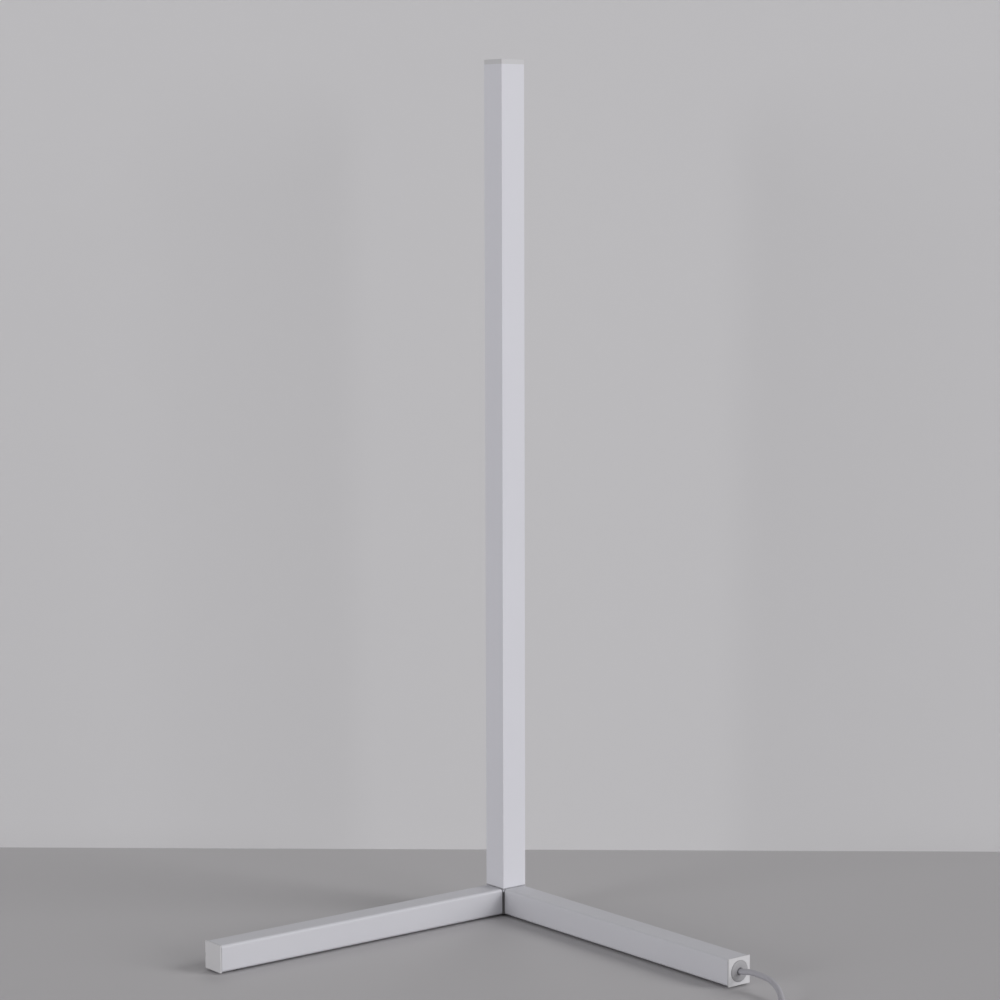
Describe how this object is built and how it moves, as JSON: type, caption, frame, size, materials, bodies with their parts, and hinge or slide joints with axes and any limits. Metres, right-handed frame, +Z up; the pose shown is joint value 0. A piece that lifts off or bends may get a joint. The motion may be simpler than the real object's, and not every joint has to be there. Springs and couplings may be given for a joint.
{
  "type": "corner floor lamp",
  "caption": "Slim square lamp bar standing on floor legs set at a right angle; it lights the room corner behind it through an opal cover and has a mains cord with an in-line switch.",
  "frame": {"origin": "centre of the lamp's plan box without its cord, on the floor", "axes": "+Z up along the bar; the open side between the legs faces -Y and the lit side of the bar faces +Y; +X is towards the leg with the cord"},
  "size_m": [0.6035, 0.5216, 0.92],
  "materials": {
    "bar_white": "white powder coat, satin",
    "leg_white": "white powder coat, satin",
    "cap_white": "white, fine matt",
    "opal": "opal diffuser",
    "board_white": "white solder mask",
    "led_phosphor": "lamp chips, unlit",
    "cast_grey": "dark painted casting",
    "zinc_steel": "zinc plated",
    "pad_rubber": "soft, matt",
    "driver_plastic": "moulded",
    "board_green": "circuit board",
    "wire_brown": "wire insulation",
    "wire_black": "wire insulation",
    "relief_grey": "moulded, satin",
    "cord_grey": "smooth sheath, light grey",
    "switch_grey": "moulded, satin",
    "tie_black": "woven hook strap",
    "pin_brass": "nickel plated brass"
  },
  "bodies": {
    "lamp": {"bar_profile": "bar_white", "rear_diffuser": "opal", "led_board": "board_white", "led_chips": "led_phosphor", "top_cap": "cap_white", "corner_connector": "cast_grey", "bar_screws": "zinc_steel", "leg_left": "leg_white", "leg_right": "leg_white", "leg_screws": "zinc_steel", "end_cap_left": "cap_white", "end_cap_right": "cap_white", "pad_left": "pad_rubber", "pad_right": "pad_rubber", "pad_corner": "pad_rubber", "driver_case": "driver_plastic", "driver_lid": "driver_plastic", "driver_board": "board_green", "terminal_block": "driver_plastic", "terminal_screws": "zinc_steel", "supply_lead": "cord_grey", "driver_wires": "wire_brown", "led_lead": "wire_black", "strain_relief": "relief_grey", "cord_lead": "cord_grey", "switch_base": "switch_grey", "switch_cover": "switch_grey", "switch_screws": "zinc_steel", "cord_link": "cord_grey", "cord_coil": "cord_grey", "coil_tie": "tie_black", "cord_tail": "cord_grey", "plug_body": "switch_grey", "plug_pins": "pin_brass"},
    "rocker": {"switch_rocker": "relief_grey"}
  },
  "joints": [
    {"name": "switch_rock", "type": "hinge", "parent": "lamp", "child": "rocker", "pos_m": [0.316, -0.286, 0.0112], "axis": [1, 0, 0], "range_deg": [0, 16]}
  ]
}
